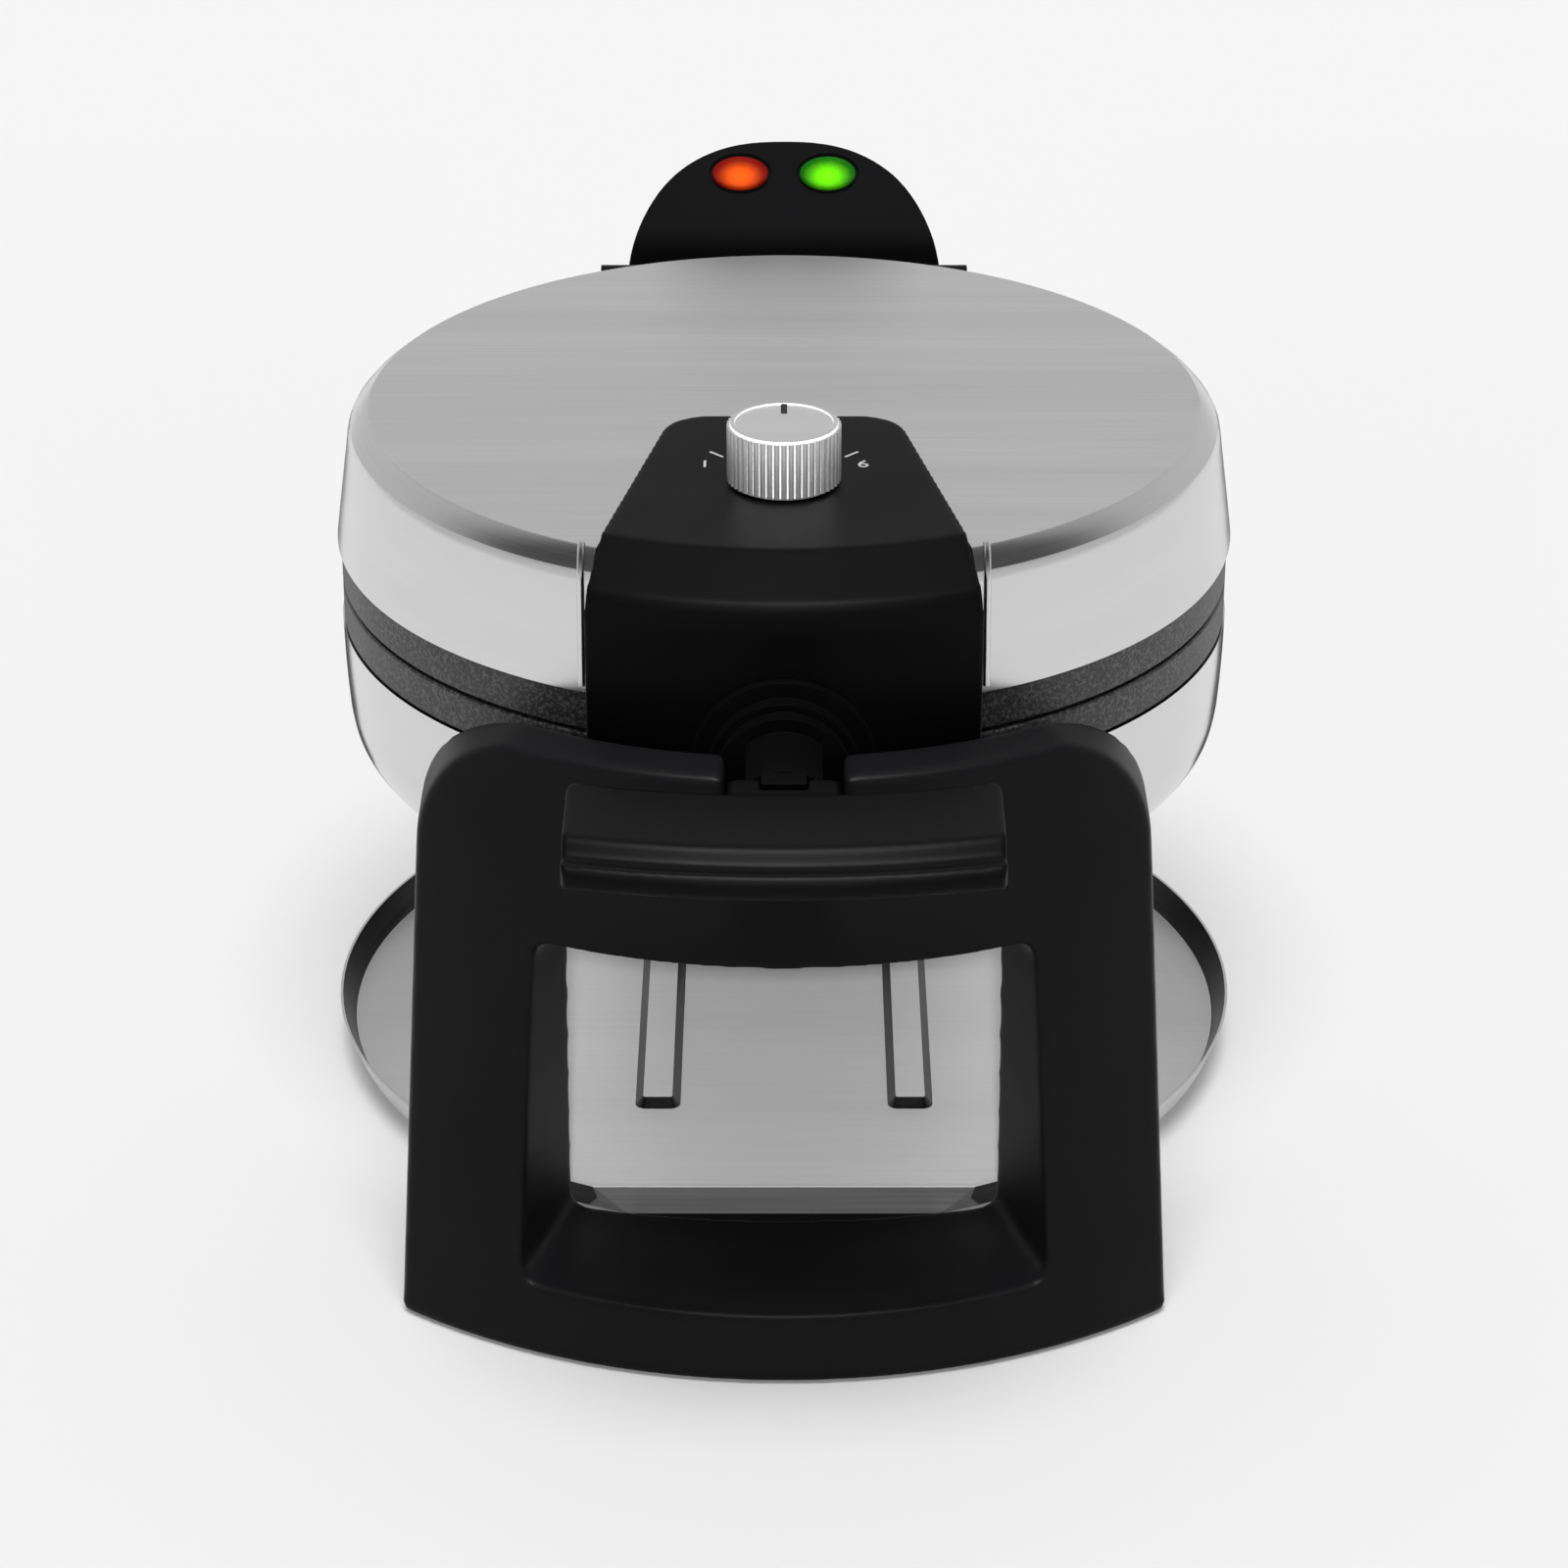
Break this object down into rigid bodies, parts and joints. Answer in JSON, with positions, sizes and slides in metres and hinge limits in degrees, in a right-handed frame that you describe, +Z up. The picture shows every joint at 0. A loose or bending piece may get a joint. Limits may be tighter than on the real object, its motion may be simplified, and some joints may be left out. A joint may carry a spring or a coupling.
{
  "type": "rotary belgian waffle maker",
  "caption": "Countertop rotary belgian waffle maker: hinged deep-grid plates in round steel covers that flip in a black stand, with dial, folding handle and drip tray.",
  "frame": {"origin": "centre of the footprint box, on the counter under the feet", "axes": "+Z up, -Y towards the handle and the person using it, +X to their right"},
  "size_m": [0.254, 0.3876, 0.2118],
  "materials": {
    "black_plastic": "semi-gloss black moulding",
    "brushed_cover": "brushed",
    "polished_cover": "fine brushed, bright",
    "coated_casting": "dark speckled non-stick coating",
    "tray_steel": "brushed",
    "dial_metal": "satin",
    "pointer_black": "matte",
    "lens_red": "clear coloured lens",
    "lens_green": "clear coloured lens",
    "foot_rubber": "matte",
    "bush_brass": "machined",
    "board_green": "matte",
    "terminal_white": "matte",
    "control_beige": "matte",
    "painted_plate": "satin black paint",
    "heater_steel": "dark oxidised",
    "plain_steel": "plain"
  },
  "bodies": {
    "stand": {"front_stand": "black_plastic", "base_plate": "painted_plate", "rear_tower": "black_plastic", "tower_back_cover": "black_plastic", "spin_bush": "bush_brass", "power_lens": "lens_red", "ready_lens": "lens_green", "lamp_board": "board_green", "terminal_block": "terminal_white", "foot_front_left": "foot_rubber", "foot_front_right": "foot_rubber", "foot_rear_left": "foot_rubber", "foot_rear_right": "foot_rubber", "base_screw_1": "plain_steel", "base_screw_2": "plain_steel", "base_screw_3": "plain_steel", "base_screw_4": "plain_steel"},
    "lower_unit": {"lower_cover": "polished_cover", "lower_plate": "coated_casting", "lower_heater": "heater_steel", "lower_shield": "plain_steel", "lower_journal": "black_plastic", "hinge_block": "black_plastic", "hinge_pin": "plain_steel", "spin_shaft": "plain_steel", "stop_collar": "plain_steel"},
    "lid": {"upper_cover": "brushed_cover", "upper_plate": "coated_casting", "upper_heater": "heater_steel", "upper_shield": "plain_steel", "hinge_leaf": "black_plastic", "control_housing": "black_plastic", "thermostat": "control_beige", "lid_journal": "black_plastic"},
    "dial": {"dial_knob": "dial_metal", "dial_spindle": "plain_steel", "dial_pointer": "pointer_black"},
    "handle": {"handle_paddle": "black_plastic", "handle_pin": "plain_steel"},
    "tray": {"drip_tray": "tray_steel"}
  },
  "joints": [
    {"name": "flip", "type": "hinge", "parent": "stand", "child": "lower_unit", "pos_m": [0, 0.01784, 0.1434], "axis": [0, 1, 0], "range_deg": [-180, 0]},
    {"name": "lid_hinge", "type": "hinge", "parent": "lower_unit", "child": "lid", "pos_m": [0, 0.14254, 0.178], "axis": [-1, 0, 0], "range_deg": [0, 95]},
    {"name": "handle_fold", "type": "hinge", "parent": "lid", "child": "handle", "pos_m": [0, -0.15016, 0.147], "axis": [1, 0, 0], "range_deg": [0, 85]},
    {"name": "dial_turn", "type": "hinge", "parent": "lid", "child": "dial", "pos_m": [0, -0.04716, 0.2], "axis": [0, 0, 1], "range_deg": [-130, 130]},
    {"name": "tray_slide", "type": "slide", "parent": "stand", "child": "tray", "axis": [1, 0, 0], "range_m": [0, 0.26]}
  ]
}
